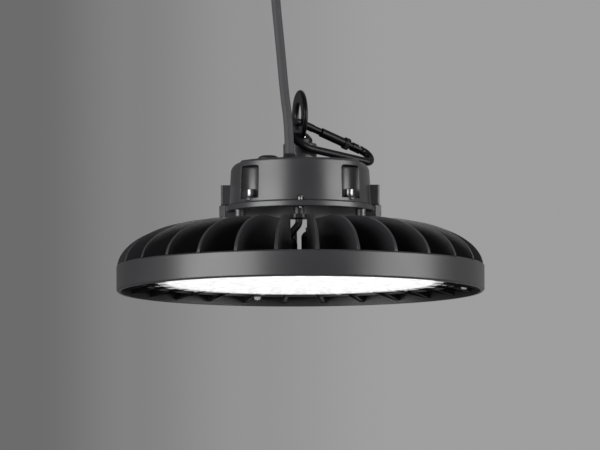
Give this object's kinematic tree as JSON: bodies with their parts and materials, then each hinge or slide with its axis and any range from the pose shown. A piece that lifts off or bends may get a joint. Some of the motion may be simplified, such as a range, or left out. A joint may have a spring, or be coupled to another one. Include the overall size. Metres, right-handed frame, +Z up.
{
  "type": "high bay light",
  "caption": "Round high bay luminaire: finned heatsink over a lit lens, driver housing, eye bolt with screw-lock carabiner, and a mains cable to a ceiling cup.",
  "frame": {"origin": "centre of the rim's bottom edge, which is the lowest plane of the lamp", "axes": "+Z up along the lamp axis, -Y towards the front, where the link cable shows, +X to the right of it"},
  "size_m": [0.28, 0.28, 0.272],
  "materials": {
    "casting": "dark grey semi-gloss powder coat on die-cast aluminium",
    "housing": "dark grey semi-gloss powder coat on die-cast aluminium",
    "lens": "clear moulded plate, lit from behind",
    "board_white": "white solder mask",
    "emitter": "lit emitters",
    "seal": "matt silicone",
    "steel": "bright stainless steel",
    "black_plastic": "black nylon",
    "board_green": "green solder mask",
    "winding": "taped winding",
    "can": "sleeved aluminium can",
    "cable": "dark grey rubber sheath",
    "black_gloss": "gloss black coated steel",
    "cup": "satin moulded plastic"
  },
  "bodies": {
    "lamp": {"heatsink_rim": "casting", "heatsink_pan": "casting", "heatsink_bosses": "casting", "heatsink_fins": "casting", "led_board": "board_white", "led_chips": "emitter", "lens": "lens", "lens_gasket": "seal", "lens_screws": "steel", "accessory_screws": "steel", "driver_base": "housing", "driver_gasket": "seal", "driver_cover": "housing", "cover_screws": "steel", "cover_washers": "steel", "rim_screws": "steel", "vent_plug": "black_plastic", "driver_board": "board_green", "transformer": "winding", "capacitors": "can", "inductor": "winding", "mains_gland": "black_plastic", "mains_nut": "black_plastic", "upper_link_gland": "black_plastic", "lower_link_gland": "black_plastic", "blanking_plug": "black_plastic", "link_cable": "cable", "eye_bolt": "black_gloss", "carabiner_body": "black_gloss", "gate_pin": "steel", "mains_cable": "cable", "ceiling_grip": "black_plastic", "ceiling_cup": "cup", "ceiling_plate": "cup"},
    "gate": {"carabiner_gate": "black_gloss"},
    "sleeve": {"locking_sleeve": "black_gloss"}
  },
  "joints": [
    {"name": "gate_hinge", "type": "hinge", "parent": "lamp", "child": "gate", "pos_m": [0.04396, 0.02743, 0.11147], "axis": [0.5442, -0.5281, 0.6519], "range_deg": [0, 22], "stiffness_Nm_per_rad": 0.02, "springref_deg": -28.65},
    {"name": "sleeve_slide", "type": "slide", "parent": "gate", "child": "sleeve", "axis": [-0.8326, -0.4353, 0.3424], "range_m": [0, 0.006]}
  ]
}
